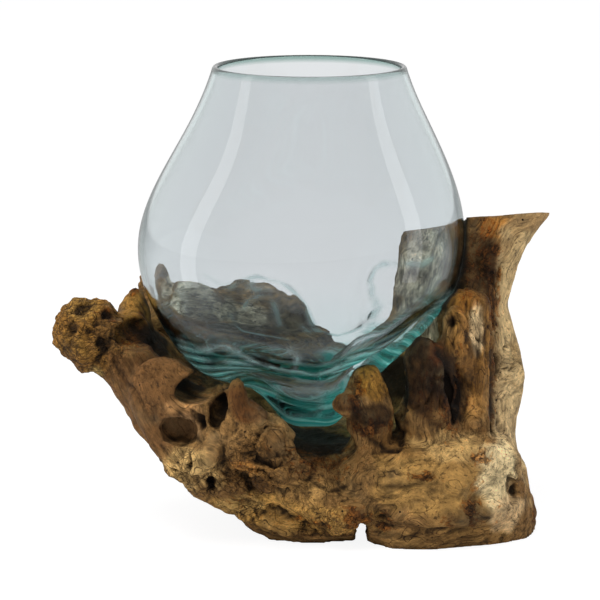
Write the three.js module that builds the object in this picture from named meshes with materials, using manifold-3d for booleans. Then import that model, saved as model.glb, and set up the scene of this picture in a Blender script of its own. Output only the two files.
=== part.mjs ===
// Hand-blown glass vase slumped onto a tree root.
// The vase was blown hot into the crook of the root, so its foot took the root's shape.
// It is held by that fit alone and lifts straight up. Millimetres, +Z up, table at z = 0.

import * as THREE from "three";
import { ImprovedNoise } from "three/addons/math/ImprovedNoise.js";
import { mergeVertices } from "three/addons/utils/BufferGeometryUtils.js";
import Module from "manifold-3d";

// Driving sizes of the vase
const bellyRadius = 97.6; // outside, at its widest
const bellyHeight = 174; // of the widest ring above the table
const bowlDepth = 93; // from the widest ring down to the round bottom
const neckRise = 105; // from the widest ring up to the lip
const mouthRadius = 57.6; // outside, at the lip
const lipLean = 5.6; // how far the neck drifts sideways as it rises
const wall = 3.4; // at the lip and belly
const footWall = 9; // at the bottom, where the glass pooled

// Driving sizes of the root
const seatGap = 0.4; // between glass and wood
const relief = 0.14; // bumps and flutes, as a share of a limb's thickness
const trunkTop = 191; // height of the saw cut at the trunk's beak
const trunkFall = { left: 0.07, back: 0.26 }; // how much that cut falls per mm
const archWidth = 10; // of the tunnel worn through between the feet
const archHeight = 18;
const archPlace = 36.5; // to the right of the vase's axis

// Fineness of the facets
const facet = 12.5; // on the wood
const columns = 52; // round the glass
const rings = 21; // up the glass

const rimHeight = bellyHeight + neckRise;
const noise = new ImprovedNoise();
const wasm = await Module();
wasm.setup();

// A closed geometry as a solid that can be joined and cut.
function solid(geometry) {
  const bare = new THREE.BufferGeometry();
  bare.setAttribute("position", geometry.getAttribute("position"));
  bare.setIndex(geometry.getIndex());
  const merged = mergeVertices(bare, 1e-4);
  const vertProperties = merged.getAttribute("position").array;
  const triVerts = new Uint32Array(merged.getIndex().array);
  return new wasm.Manifold(new wasm.Mesh({ numProp: 3, vertProperties, triVerts }));
}

function geometryOf(made) {
  const mesh = made.getMesh();
  const geometry = new THREE.BufferGeometry();
  geometry.setAttribute("position", new THREE.BufferAttribute(mesh.vertProperties, 3));
  geometry.setIndex(new THREE.BufferAttribute(mesh.triVerts, 1));
  geometry.computeVertexNormals();
  return geometry;
}

// A point beside the round bowl: its angle about the upright axis from +X, its depth as a
// share of the way from the widest ring (0) to the bottom (1), and its distance from the glass.
function beside(azimuth, down, out) {
  const turn = THREE.MathUtils.degToRad(azimuth);
  const drop = Math.asin(down);
  const normal = new THREE.Vector2(Math.cos(drop) / bellyRadius, -Math.sin(drop) / bowlDepth).normalize();
  const radius = bellyRadius * Math.cos(drop) + out * normal.x;
  const height = bellyHeight - bowlDepth * down + out * normal.y;
  return [radius * Math.cos(turn), radius * Math.sin(turn), height];
}

// The vase

// Where the hot glass sagged into the root or was held up by it: the place on the bowl, how
// far the glass moved there, and over what reach. First the two runs of the drip between the
// front lobes and the sag on the left, then the dents over the spur, the knob, the split stub,
// the ridge, its peak, the shell of the trunk and that shell's foot.
const pushes = [
  { at: beside(-105, 0.96, 0), move: [0, -6, -16], reach: 11.5 },
  { at: beside(-44, 0.95, 0), move: [0, -6, -20.5], reach: 15 },
  { at: beside(-150, 0.78, 0), move: [-2, -1, -4], reach: 20 },
  { at: beside(-118, 0.88, 0), move: [0, 3, 9], reach: 19 },
  { at: beside(-44, 0.84, 0), move: [-2, 8, 18], reach: 14 },
  { at: beside(-24, 0.62, 0), move: [-3, 3, 12], reach: 20 },
  { at: beside(108, 0.65, 0), move: [2, -20, 12], reach: 19 },
  { at: beside(150, 0.48, 0), move: [9, -6, 5], reach: 22 },
  { at: beside(44, 0.4, 0), move: [-13, -12, 4], reach: 21 },
  { at: beside(40, 0.68, 0), move: [-3, -7, 7], reach: 12 },
];

// Moves a point of the round bowl to where the slumped glass has it. A sag goes only the given
// share of its way, a dent all of it.
function slump(point, share = 1) {
  const moved = point.clone();
  for (const { at, move, reach } of pushes) {
    const fade = Math.exp(-point.distanceToSquared(new THREE.Vector3(...at)) / (2 * reach * reach));
    const [x, y, z] = at;
    const sags = x * move[0] + y * move[1] + (z - bellyHeight) * move[2] > 0;
    moved.addScaledVector(new THREE.Vector3(...move), (sags ? share : 1) * fade);
  }
  const leanFrom = bellyHeight - 0.2 * neckRise;
  const leanTo = bellyHeight + 0.75 * neckRise;
  moved.x += lipLean * THREE.MathUtils.smoothstep(point.z, leanFrom, leanTo);
  return moved;
}

// Half outline of the round bowl from bottom to lip, with outward normals.
function outline() {
  const curve = new THREE.Path();
  curve.moveTo(0, bellyHeight - bowlDepth);
  curve.absellipse(0, bellyHeight, bellyRadius, bowlDepth, -Math.PI / 2, 0, false);
  curve.bezierCurveTo(
    bellyRadius,
    bellyHeight + 0.34 * neckRise,
    1.2 * mouthRadius,
    rimHeight - 0.36 * neckRise,
    mouthRadius,
    rimHeight,
  );
  return Array.from({ length: rings + 1 }, (_, i) => {
    const along = curve.getTangentAt(i / rings);
    return { at: curve.getPointAt(i / rings), out: new THREE.Vector2(along.y, -along.x) };
  });
}

function thicknessAt(height) {
  const low = THREE.MathUtils.smoothstep(bellyHeight - height, 0.35 * bowlDepth, bowlDepth);
  return wall + (footWall - wall) * low;
}

// Turns a profile of radius and height about the upright axis, then moves every vertex.
function revolve(profile, move) {
  profile[0].x = 0;
  profile[profile.length - 1].x = 0;
  const geometry = new THREE.LatheGeometry(profile, columns).rotateX(Math.PI / 2);
  const place = geometry.getAttribute("position");
  const point = new THREE.Vector3();
  for (let i = 0; i < place.count; i++) {
    const moved = move(point.fromBufferAttribute(place, i), i % profile.length);
    place.setXYZ(i, moved.x, moved.y, moved.z);
  }
  geometry.computeVertexNormals();
  return geometry;
}

function vaseGeometry() {
  const outside = outline();
  const profile = outside.map(({ at }) => at.clone());
  const edge = outside[rings];
  const lip = wall / 2;
  const lipCentre = edge.at.clone().addScaledVector(edge.out, -lip);
  for (const turn of [45, 90, 135]) {
    const angle = edge.out.angle() + THREE.MathUtils.degToRad(turn);
    profile.push(new THREE.Vector2(Math.cos(angle), Math.sin(angle)).multiplyScalar(lip).add(lipCentre));
  }
  const outerCount = profile.length;
  for (const { at, out } of outside.toReversed()) {
    profile.push(at.clone().addScaledVector(out, -thicknessAt(at.y)));
  }
  const innerShare = 0.8; // the inside sags less than the outside, so the drip is thick
  return revolve(profile, (point, ring) => slump(point, ring < outerCount ? 1 : innerShare));
}

// The room that the vase needs to drop in from above: its underside grown by the gap, never
// narrower than anything below it.
function seat() {
  const profile = outline()
    .filter(({ at }) => at.y < bellyHeight)
    .map(({ at, out }) => at.clone().addScaledVector(out, seatGap));
  const wide = bellyRadius + seatGap;
  for (const height of [bellyHeight, rimHeight]) profile.push(new THREE.Vector2(wide, height));
  profile.push(new THREE.Vector2(0, rimHeight));
  let widest = 0;
  const room = revolve(profile, (point, ring) => {
    const moved = slump(point);
    if (ring === 0) widest = 0;
    if (ring === 0 || ring === profile.length - 1) return moved;
    const radius = Math.hypot(moved.x, moved.y);
    widest = Math.max(widest, radius);
    moved.x *= widest / radius;
    moved.y *= widest / radius;
    return moved;
  });
  return solid(room);
}

// The root

// How far the wood stands out, as a share of a limb's thickness: broad burls anywhere, and
// flutes that run along the limb.
function gnarl({ x, y, z }, angle, along) {
  const burls = noise.noise(x / 29, y / 29, z / 29);
  const flutes = noise.noise(2.1 * Math.cos(angle), 2.1 * Math.sin(angle), along / 60);
  return 1 + relief * (1.3 * burls + 1.1 * flutes);
}

// Skins a stack of equal rings, with a point at each end.
function skin(ends, stack) {
  const sides = stack[0].length;
  const place = [ends[0], ...stack.flat(), ends[1]];
  const last = place.length - 1;
  const faces = [];
  for (let k = 0; k < sides; k++) {
    const next = (k + 1) % sides;
    faces.push(0, 1 + next, 1 + k);
    faces.push(last, last - sides + k, last - sides + next);
    for (let i = 0; i + 1 < stack.length; i++) {
      const low = 1 + i * sides;
      const high = low + sides;
      faces.push(low + k, low + next, high + next, low + k, high + next, high + k);
    }
  }
  return new THREE.BufferGeometry().setFromPoints(place).setIndex(faces);
}

// A limb: oval sections swept along a curve, rounded off at both ends. Each station is
// x, y, z, then half its thickness across the view from the front, and half its depth.
function limb(...stations) {
  const spine = new THREE.CatmullRomCurve3(stations.map(([x, y, z]) => new THREE.Vector3(x, y, z)));
  const girth = new THREE.CatmullRomCurve3(stations.map(([, , , a, b]) => new THREE.Vector3(a, b, 0)));
  const length = spine.getLength();
  const thick = Math.max(...stations.map(([, , , a, b]) => (a + b) / 2));
  const sides = Math.max(9, Math.round((2 * Math.PI * thick) / facet));
  const steps = Math.max(6, Math.round((1.2 * length) / facet));
  const towardsBack = new THREE.Vector3(0, 1, 0);
  const upwards = new THREE.Vector3(0, 0, 1);
  const stack = [];
  for (let i = 1; i < steps; i++) {
    const u = (1 - Math.cos((Math.PI * i) / steps)) / 2;
    const centre = spine.getPoint(u);
    const size = girth.getPoint(u);
    const along = spine.getTangent(u);
    const reference = Math.abs(along.y) > 0.8 ? upwards : towardsBack;
    const across = new THREE.Vector3().crossVectors(along, reference).normalize();
    const deep = new THREE.Vector3().crossVectors(along, across);
    const full = Math.sqrt(1 - Math.abs(2 * u - 1) ** 6);
    const run = stations[0][0] + u * length;
    const ring = [];
    for (let k = 0; k < sides; k++) {
      const angle = (2 * Math.PI * k) / sides;
      const spoke = across.clone().multiplyScalar(Math.cos(angle) * size.x * full);
      spoke.addScaledVector(deep, Math.sin(angle) * size.y * full);
      const swell = gnarl(centre.clone().add(spoke), angle, run);
      ring.push(centre.clone().addScaledVector(spoke, swell));
    }
    stack.push(ring);
  }
  return solid(skin([spine.getPoint(0), spine.getPoint(1)], stack));
}

// An egg-shaped lump or hollow, leaned over in the view from the front.
function egg([x, y, z], [a, b, c], lean = 0) {
  const detail = Math.max(1, Math.round(Math.cbrt(a * b * c) / 6));
  const geometry = new THREE.IcosahedronGeometry(1, detail);
  geometry.scale(a, b, c).rotateY(THREE.MathUtils.degToRad(lean)).translate(x, y, z);
  return solid(geometry);
}

// The mass that everything grows from, and its feet
const body = [
  limb(
    [-62, -8, 54, 22, 36],
    [-24, -4, 38, 31, 54],
    [30, -2, 28, 33, 64],
    [84, -4, 29, 33, 58],
    [127, -8, 26, 22, 34],
  ),
  limb([-40, -26, 24, 14, 18], [-6, -31, 14, 17, 20], [28, -30, 12, 17, 18]),
  limb([38, -30, 12, 18, 22], [68, -36, 10, 22, 25], [102, -31, 10, 20, 21], [133, -22, 9, 17, 20]),
  limb([42, -40, 25, 14, 22], [66, -43, 26, 18, 28], [98, -40, 26, 19, 28], [125, -23, 26, 18, 25]),
  limb([-24, 46, 70, 26, 22], [-22, 46, 30, 28, 27], [-16, 42, -30, 28, 26]),
  limb([62, 52, 60, 30, 20], [60, 48, 20, 30, 24], [58, 44, -30, 28, 24]),
];

// The arm that reaches out to the left and ends in a knob
const arm = limb(
  [...beside(-170, 0.35, 62), 15, 14],
  [...beside(-169, 0.37, 44), 25, 22],
  [...beside(-168, 0.47, 32), 17, 19],
  [...beside(-166, 0.68, 31), 18, 25],
  [...beside(-165, 0.8, 36), 21, 28],
  [-60, -18, 61, 23, 34],
  [-12, -10, 34, 26, 42],
);

// Lobes at the left front, grown together round holes. The first is the broad plate.
const leftFront = [
  limb(
    [...beside(-152, 0.53, 23), 16, 9],
    [...beside(-149, 0.66, 28), 21, 14],
    [...beside(-145, 0.77, 38), 23, 18],
    [-55, -48, 52, 21, 18],
    [-30, -42, 34, 20, 18],
  ),
  limb(
    [...beside(-157, 0.71, 30), 17, 16],
    [...beside(-135, 0.8, 25), 22, 18],
    [...beside(-106, 0.88, 36), 19, 14],
    [4, -50, 44, 16, 13],
  ),
  limb(
    [...beside(-122, 0.86, 38), 11, 9],
    [...beside(-120, 0.79, 21), 8, 8],
    [...beside(-121, 0.71, 4), 4, 5],
  ),
  egg(beside(-113, 0.82, 40), [13, 9, 12], 20),
  egg(beside(-104, 0.86, 50), [11, 9, 11]),
  egg(beside(-130, 0.8, 50), [14, 9, 9], -35),
  limb([...beside(-142, 0.85, 62), 13, 10], [-46, -44, 37, 14, 13], [-28, -40, 28, 16, 16]),
];

// The knob stub with its nub, the split stub and the ridged stub, which stand along the right
// front and hold the glass, and the brow that they grow out of
const rightFront = [
  limb(
    [38, -40, 40, 18, 18],
    [...beside(-53, 0.83, 26), 14, 14],
    [...beside(-57, 0.76, 13), 14, 12],
    [...beside(-58, 0.71, 4), 11, 9],
    [...beside(-60, 0.68, -1), 6, 5],
  ),
  limb([...beside(-56, 0.78, 19), 10, 9], [...beside(-67, 0.77, 16), 8, 7], [...beside(-74, 0.78, 15), 4, 5]),
  limb(
    [78, -38, 44, 22, 20],
    [...beside(-34, 0.73, 35), 21, 16],
    [...beside(-35, 0.64, 22), 18, 14],
    [...beside(-34, 0.56, 10), 13, 11],
    [...beside(-33, 0.5, 4), 7, 7],
  ),
  limb(
    [104, -34, 44, 17, 18],
    [...beside(-19, 0.63, 39), 18, 15],
    [...beside(-17, 0.49, 21), 17, 14],
    [...beside(-13, 0.34, 11), 16, 12],
    [...beside(-12, 0.24, 7), 12, 8],
  ),
  limb([...beside(-24, 0.3, 8), 5, 6], [...beside(-26, 0.42, 14), 9, 9], [...beside(-24, 0.56, 26), 12, 12]),
  limb(
    [...beside(-28, 0.68, 50), 10, 8],
    [...beside(-22, 0.66, 50), 12, 9],
    [...beside(-16, 0.6, 44), 10, 9],
  ),
  limb([18, -36, 36, 20, 24], [58, -44, 44, 27, 30], [100, -40, 44, 29, 27], [124, -20, 42, 17, 22]),
];

// The trunk at the right, sawn off at the top, and the shell of wood that it carries on
// round the back of the bowl
const trunk = [
  limb(
    [124, -12, -34, 24, 30],
    [121, -12, 15, 24, 30],
    [110, -4, 50, 23, 29],
    [...beside(2, 0.67, 50), 24, 29],
    [...beside(4, 0.56, 37), 24, 28],
    [...beside(7, 0.35, 14), 22, 28],
    [...beside(8, 0.09, 9), 26, 25],
    [108, 14, trunkTop + 50, 25, 24],
  ),
  limb(
    [111, 8, trunkTop - 76, 17, 18],
    [112, 8, trunkTop - 43, 18.5, 18],
    [117, 7, trunkTop - 24, 18, 17],
    [126, 6, trunkTop - 9, 15, 14],
    [138, 5, trunkTop + 2, 11, 11],
    [153, 4, trunkTop + 14, 11, 8],
  ),
  limb(
    [104, 34, trunkTop + 40, 20, 20],
    [...beside(20, 0.2, 15), 20, 22],
    [...beside(21, 0.58, 32), 22, 24],
    [92, 32, 40, 26, 26],
  ),
  limb(
    [88, 56, trunkTop + 40, 28, 18],
    [...beside(33, 0.23, 12), 28, 18],
    [...beside(36, 0.56, 26), 29, 20],
    [...beside(40, 0.78, 44), 31, 24],
    [56, 44, 22, 32, 28],
  ),
  egg(beside(34, 0.5, 48), [16, 11, 24], 12),
];

// The ridge behind the bowl, and the lumps at its left end
const back = [
  limb(
    [...beside(32, 0.74, 54), 25, 20],
    [...beside(54, 0.84, 56), 24, 18],
    [...beside(72, 0.86, 50), 21, 18],
    [...beside(87, 0.84, 38), 21, 17],
    [...beside(98, 0.72, 17), 28, 17],
    [...beside(112, 0.65, 15), 31, 15],
    [...beside(130, 0.63, 16), 30, 15],
    [...beside(148, 0.52, 16), 28, 15],
    [...beside(164, 0.5, 20), 15, 13],
  ),
  limb([...beside(150, 0.22, 9), 4, 5], [...beside(150, 0.32, 13), 8, 8], [...beside(148, 0.48, 18), 13, 12]),
  limb(
    [...beside(172, 0.48, 20), 15, 20],
    [...beside(172, 0.66, 27), 20, 29],
    [-66, 18, 66, 26, 34],
    [-34, 24, 42, 27, 36],
  ),
  limb(
    [...beside(171, 0.3, 7), 5, 6],
    [...beside(174, 0.42, 14), 10, 10],
    [...beside(176, 0.56, 22), 13, 14],
  ),
  limb(
    [...beside(-178, 0.38, 14), 8, 8],
    [...beside(-179, 0.46, 18), 12, 12],
    [...beside(180, 0.58, 26), 14, 14],
  ),
  limb([...beside(156, 0.68, 20), 14, 14], [...beside(136, 0.84, 26), 18, 16], [-26, 42, 56, 22, 20]),
  limb([...beside(116, 0.6, 20), 9, 9], [...beside(112, 0.8, 42), 13, 11], [-14, 64, 20, 18, 15]),
  limb([...beside(84, 0.82, 34), 10, 9], [...beside(86, 0.92, 60), 15, 13], [22, 62, 18, 19, 16]),
];

const hollows = {
  underDrip: egg(beside(-77, 0.9, 30), [23, 18, 10]),
  besideSpur: egg(beside(-139, 0.71, 16), [15, 20, 9], -12),
  spurCleft: egg(beside(-126, 0.74, 25), [5, 16, 12], 6),
  lowCave: egg(beside(-139, 0.74, 44), [11, 12, 8], 15),
  leftCave: egg(beside(-163, 0.47, 14), [17, 26, 9.5], 8),
  stubCleft: egg(beside(-45, 0.7, 18), [5, 18, 22]),
  stubSplit: egg(beside(-34, 0.62, 38), [2.5, 8, 20], -6),
  browCleft: egg(beside(-5, 0.3, 40), [3, 12, 44], 5),
  kneeHole: egg([127, -46, 31], [4, 12, 8]),
  backCave: egg(beside(66, 0.88, 70), [16, 20, 11]),
  backCleft: egg(beside(44, 0.62, 66), [5, 14, 26], 8),
};

const huge = 600; // larger than the whole piece

function belowTable() {
  return solid(new THREE.BoxGeometry(huge, huge, huge).translate(0, 0, -huge / 2));
}

// The trunk was sawn across its top, falling a little from its tip to the left and to the back.
const tip = [149, 5, trunkTop];

function aboveSawCut() {
  const block = new THREE.BoxGeometry(huge, huge, huge).translate(0, 0, huge / 2);
  block.rotateY(-Math.atan(trunkFall.left)).rotateX(-Math.atan(trunkFall.back));
  return solid(block.translate(...tip));
}

// The tunnel under the root, which widens towards the back.
function archway() {
  const side = archWidth / 2;
  const reach = bellyRadius + 12; // past the wood, front and back
  return limb(
    [archPlace - 2, -reach, 0, side, archHeight],
    [archPlace, 0, 0, side, archHeight],
    [archPlace - 6, reach, 0, 2.4 * side, archHeight],
  );
}

// Keeps the root's own skin. Bubbles that limbs close in between them are filled with wood,
// and crumbs that a cut leaves loose fall away.
function sound(geometry) {
  const place = geometry.getAttribute("position");
  const index = geometry.getIndex();
  const leader = Array.from({ length: place.count }, (_, i) => i);
  const leaderOf = (i) => (leader[i] === i ? i : (leader[i] = leaderOf(leader[i])));
  const corners = (f) => [0, 1, 2].map((k) => index.getX(3 * f + k));
  const faces = Array.from({ length: index.count / 3 }, (_, f) => corners(f));
  for (const [a, b, c] of faces) {
    leader[leaderOf(b)] = leaderOf(a);
    leader[leaderOf(c)] = leaderOf(a);
  }
  const volumes = new Map();
  for (const face of faces) {
    const [a, b, c] = face.map((i) => new THREE.Vector3().fromBufferAttribute(place, i));
    const skinOf = leaderOf(face[0]);
    volumes.set(skinOf, (volumes.get(skinOf) ?? 0) + a.dot(b.cross(c)) / 6);
  }
  const crumb = 1000; // cubic millimetres
  const kept = faces.filter(([a]) => volumes.get(leaderOf(a)) > crumb);
  return geometry.setIndex(kept.flat());
}

function rootGeometry() {
  const pieces = [...body, arm, ...leftFront, ...rightFront, ...trunk, ...back];
  const cuts = [...Object.values(hollows), archway(), seat(), belowTable(), aboveSawCut()];
  const grown = pieces.reduce((wood, piece) => wood.add(piece));
  return sound(geometryOf(cuts.reduce((wood, cut) => wood.subtract(cut), grown)));
}

const glass = new THREE.MeshStandardMaterial({
  color: 0xd8eeea,
  roughness: 0.03,
  transparent: true,
  opacity: 0.4,
});
const bark = new THREE.MeshStandardMaterial({ color: 0x8a6a42, roughness: 0.75 });

const vase = new THREE.Mesh(vaseGeometry(), glass);
vase.name = "glass_vase";
const root = new THREE.Mesh(rootGeometry(), bark);
root.name = "root_base";

// The origin is on the table, under the middle of the whole piece.
const assembly = new THREE.Group();
assembly.add(root, vase);
const middle = new THREE.Box3().setFromObject(assembly).getCenter(new THREE.Vector3());
assembly.position.set(-middle.x, -middle.y, 0);

export default assembly;
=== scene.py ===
import math

import bmesh
import bpy
import numpy as np
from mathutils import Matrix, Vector
from mathutils.bvhtree import BVHTree


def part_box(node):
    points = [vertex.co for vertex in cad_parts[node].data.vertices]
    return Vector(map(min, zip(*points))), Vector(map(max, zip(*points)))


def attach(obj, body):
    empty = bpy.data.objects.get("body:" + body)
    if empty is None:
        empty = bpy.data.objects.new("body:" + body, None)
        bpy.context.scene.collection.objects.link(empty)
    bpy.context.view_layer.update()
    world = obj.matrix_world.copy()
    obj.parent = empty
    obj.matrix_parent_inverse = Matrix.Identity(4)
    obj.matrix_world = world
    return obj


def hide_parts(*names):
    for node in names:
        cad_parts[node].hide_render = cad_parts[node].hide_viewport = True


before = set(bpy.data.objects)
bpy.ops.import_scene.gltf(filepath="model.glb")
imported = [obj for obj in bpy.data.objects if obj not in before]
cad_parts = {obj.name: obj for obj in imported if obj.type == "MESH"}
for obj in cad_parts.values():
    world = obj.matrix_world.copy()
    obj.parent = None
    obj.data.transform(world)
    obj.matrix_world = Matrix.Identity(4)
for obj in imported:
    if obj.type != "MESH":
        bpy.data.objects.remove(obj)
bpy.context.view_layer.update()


# The root
# One piece of weathered root wood, dug up, brushed clean and sawn flat underneath and across its
# trunk. Grain flows along each limb and runs in rings round the eyes, and the softer wood has worn
# away between. Its places are millimetres from the upright axis of the bowl it was fitted to.

MM = 0.001
BOWL_AXIS = np.array((-1.84, 0.01, 0.0))  # where that axis stands in the frame
BELLY_RADIUS = 97.6
BELLY_HEIGHT = 174.0
BOWL_DEPTH = 93.0
NECK_RISE = 105.0
MOUTH_RADIUS = 57.6
LIP_LEAN = 5.6
RIM_HEIGHT = BELLY_HEIGHT + NECK_RISE
GRAIN_SIZE = 1.65  # the finest relief that is cut into the wood itself


def beside(azimuth, down, out):
    """A point beside the round bowl: angle about the axis, share of the way down, distance off."""
    turn = math.radians(azimuth)
    drop = math.asin(down)
    normal = np.array((math.cos(drop) / BELLY_RADIUS, -math.sin(drop) / BOWL_DEPTH))
    normal /= np.linalg.norm(normal)
    radius = BELLY_RADIUS * math.cos(drop) + out * normal[0]
    height = BELLY_HEIGHT - BOWL_DEPTH * down + out * normal[1]
    return np.array((radius * math.cos(turn), radius * math.sin(turn), height))


# Where hot glass sagged into the wood or was held up by it: place, move and reach.
SAGS = [
    (beside(-105, 0.96, 0), (0, -6, -16), 11.5),
    (beside(-44, 0.95, 0), (0, -6, -20.5), 15),
    (beside(-150, 0.78, 0), (-2, -1, -4), 20),
    (beside(-118, 0.88, 0), (0, 3, 9), 19),
    (beside(-44, 0.84, 0), (-2, 8, 18), 14),
    (beside(-24, 0.62, 0), (-3, 3, 12), 20),
    (beside(108, 0.65, 0), (2, -20, 12), 19),
    (beside(150, 0.48, 0), (9, -6, 5), 22),
    (beside(44, 0.4, 0), (-13, -12, 4), 21),
    (beside(40, 0.68, 0), (-3, -7, 7), 12),
]


def sagged(points):
    """Moves points of the round bowl to where the slumped glass has them."""
    moved = points.copy()
    for at, move, reach in SAGS:
        away = np.sum((points - at) ** 2, axis=1)
        moved += np.exp(-away / (2 * reach**2))[:, None] * np.array(move)
    return moved


def seat_room(gap):
    """The room that the vase needs to drop in from above, as a tree of its outward faces."""
    drops = np.linspace(math.pi / 2, 0, 60)
    turns = np.linspace(0, 2 * math.pi, 120, endpoint=False)
    rows = []
    widest = np.zeros(len(turns))
    for drop in drops:
        radius = (BELLY_RADIUS + gap) * math.cos(drop)
        height = BELLY_HEIGHT - (BOWL_DEPTH + gap) * math.sin(drop)
        level = np.full(len(turns), height)
        ring = sagged(np.column_stack((radius * np.cos(turns), radius * np.sin(turns), level)))
        reach = np.hypot(ring[:, 0], ring[:, 1])
        widest = np.maximum(widest, reach)
        ring[:, :2] *= (widest / np.maximum(reach, 1e-9))[:, None]
        rows.append(ring)
    rows.append(rows[-1] + (0, 0, RIM_HEIGHT - BELLY_HEIGHT))
    points = np.concatenate(rows)
    count = len(turns)
    faces = []
    for row in range(len(rows) - 1):
        for k in range(count):
            low = row * count + k
            low_next = row * count + (k + 1) % count
            faces.append((low, low_next, low_next + count, low + count))
    return BVHTree.FromPolygons([tuple(p) for p in points], faces)


# The lines that the wood grew along, from the tips inwards.
GROWTH = {
    "arm": [
        beside(-170, 0.35, 62),
        beside(-168, 0.47, 32),
        beside(-165, 0.8, 36),
        (-60, -18, 61),
        (-12, -10, 34),
    ],
    "plate": [
        beside(-152, 0.53, 23),
        beside(-149, 0.66, 28),
        beside(-145, 0.77, 38),
        (-55, -48, 52),
        (-30, -42, 34),
    ],
    "left bridge": [beside(-157, 0.71, 30), beside(-135, 0.8, 25), beside(-106, 0.88, 36), (4, -50, 44)],
    "spur": [beside(-122, 0.86, 38), beside(-120, 0.79, 21), beside(-121, 0.71, 4)],
    "left foot": [(-40, -26, 24), (-6, -31, 14), (28, -30, 12)],
    "right foot": [(38, -30, 12), (68, -36, 10), (102, -31, 10), (124, -24, 14), (130, -20, 60)],
    "knob stub": [(38, -40, 40), beside(-53, 0.83, 26), beside(-57, 0.76, 13), beside(-60, 0.68, -1)],
    "split stub": [(78, -38, 44), beside(-34, 0.73, 35), beside(-35, 0.64, 22), beside(-33, 0.5, 4)],
    "ridged stub": [(104, -34, 44), beside(-19, 0.63, 39), beside(-17, 0.49, 21), beside(-12, 0.24, 7)],
    "brow": [(18, -36, 36), (58, -44, 44), (100, -40, 44), (122, -30, 52), (130, -20, 80)],
    "trunk": [(124, -12, -34), (110, -4, 50), beside(2, 0.67, 50), beside(7, 0.35, 14), (108, 14, 230)],
    "beak": [(111, 8, 115), (112, 8, 148), (117, 7, 167), (126, 6, 182), (153, 4, 205)],
    "trunk back": [(92, 32, 10), beside(21, 0.58, 32), beside(20, 0.2, 15), (104, 34, 230)],
    "shell": [(56, 44, 22), beside(40, 0.78, 44), beside(36, 0.56, 26), (88, 56, 230)],
    "back ridge": [
        beside(32, 0.74, 54),
        beside(72, 0.86, 50),
        beside(98, 0.72, 17),
        beside(164, 0.5, 20),
    ],
    "left back": [beside(172, 0.3, 12), beside(172, 0.66, 27), (-66, 18, 66), (-34, 24, 42)],
    "base": [(-24, -4, 38), (30, -2, 28), (84, -4, 29)],
}
DRAWN = 6.0  # how much longer the grain's figure is than wide
LIMBS_MERGE = 5  # over how many millimetres one limb's grain turns into the next one's


def nearest_on(line, points):
    """How far points lie from a line, where on it they are nearest, and how far along it."""
    near = np.full(len(points), np.inf)
    foot = np.zeros_like(points)
    run = np.zeros(len(points))
    start = 0.0
    for a, b in zip(line, line[1:]):
        step = b - a
        length = np.linalg.norm(step)
        share = np.clip((points - a) @ step / length**2, 0, 1)
        at = a + share[:, None] * step
        away = np.linalg.norm(points - at, axis=1)
        closer = away < near
        near = np.where(closer, away, near)
        foot = np.where(closer[:, None], at, foot)
        run = np.where(closer, start + share * length, run)
        start += length
    return near, foot, run


def along_growth(points):
    """Grain coordinates: a point's place across its limb, with the way along it drawn in."""
    total = np.zeros_like(points)
    weight = np.zeros(len(points))
    for stations in GROWTH.values():
        line = np.array(stations, float)
        near, foot, run = nearest_on(line, points)
        heading = (line[-1] - line[0]) / np.linalg.norm(line[-1] - line[0])
        across = points - foot
        across -= np.outer(across @ heading, heading)
        pull = np.exp(-near / LIMBS_MERGE)
        total += pull[:, None] * (across + np.outer(run / DRAWN, heading))
        weight += pull
    return total / weight[:, None]


dice = np.random.default_rng(11)
SHUFFLE = dice.permutation(256)
SLOPES = dice.normal(size=(256, 3))
SLOPES /= np.linalg.norm(SLOPES, axis=1)[:, None]


def bumps(points, size):
    """Smooth noise from about -1 to 1, with features of the given size."""
    points = points / size
    cell = np.floor(points).astype(int)
    inside = points - cell
    ease = inside**3 * (inside * (inside * 6 - 15) + 10)
    total = np.zeros(len(points))
    for corner in np.ndindex(2, 2, 2):
        key = SHUFFLE[(cell[:, 0] + corner[0]) & 255]
        key = SHUFFLE[(key + cell[:, 1] + corner[1]) & 255]
        key = SHUFFLE[(key + cell[:, 2] + corner[2]) & 255]
        height = np.einsum("ij,ij->i", SLOPES[key], inside - corner)
        share = np.prod(np.where(corner, ease, 1 - ease), axis=1)
        total += share * height
    return 1.7 * total


def smooth(low, high, value):
    """Eases from 0 at low to 1 at high."""
    share = np.clip((value - low) / (high - low), 0, 1)
    return share * share * (3 - 2 * share)


def placed(name, data):
    """A new object that stands in the scene."""
    made = bpy.data.objects.new(name, data)
    bpy.context.scene.collection.objects.link(made)
    return made


def made_plain(piece):
    """Turns a piece and its modifiers into one plain mesh of the same name."""
    graph = bpy.context.evaluated_depsgraph_get()
    mesh = bpy.data.meshes.new_from_object(piece.evaluated_get(graph))
    piece.modifiers.clear()
    piece.data = mesh
    mesh.name = piece.name
    return mesh


# The CAD solid, cut into fine even facets that the relief can move.
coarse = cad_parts["root_base"].data.copy()
form = bmesh.new()
form.from_mesh(coarse)
bmesh.ops.remove_doubles(form, verts=form.verts, dist=1e-6)
form.to_mesh(coarse)
form.free()
root = placed("root_wood", coarse)
facets = root.modifiers.new("Facets", "REMESH")
facets.mode = "VOXEL"
facets.voxel_size = GRAIN_SIZE * MM
facets.use_smooth_shade = True
wood = made_plain(root)

flat = np.empty(3 * len(wood.vertices))
wood.vertices.foreach_get("co", flat)
place = flat.reshape(-1, 3) / MM - BOWL_AXIS
ends = np.empty(2 * len(wood.edges), int)
wood.edges.foreach_get("vertices", ends)
ends = ends.reshape(-1, 2)
tails = np.concatenate((ends[:, 0], ends[:, 1]))
heads = np.concatenate((ends[:, 1], ends[:, 0]))
neighbours = np.bincount(heads, minlength=len(place))


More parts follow.
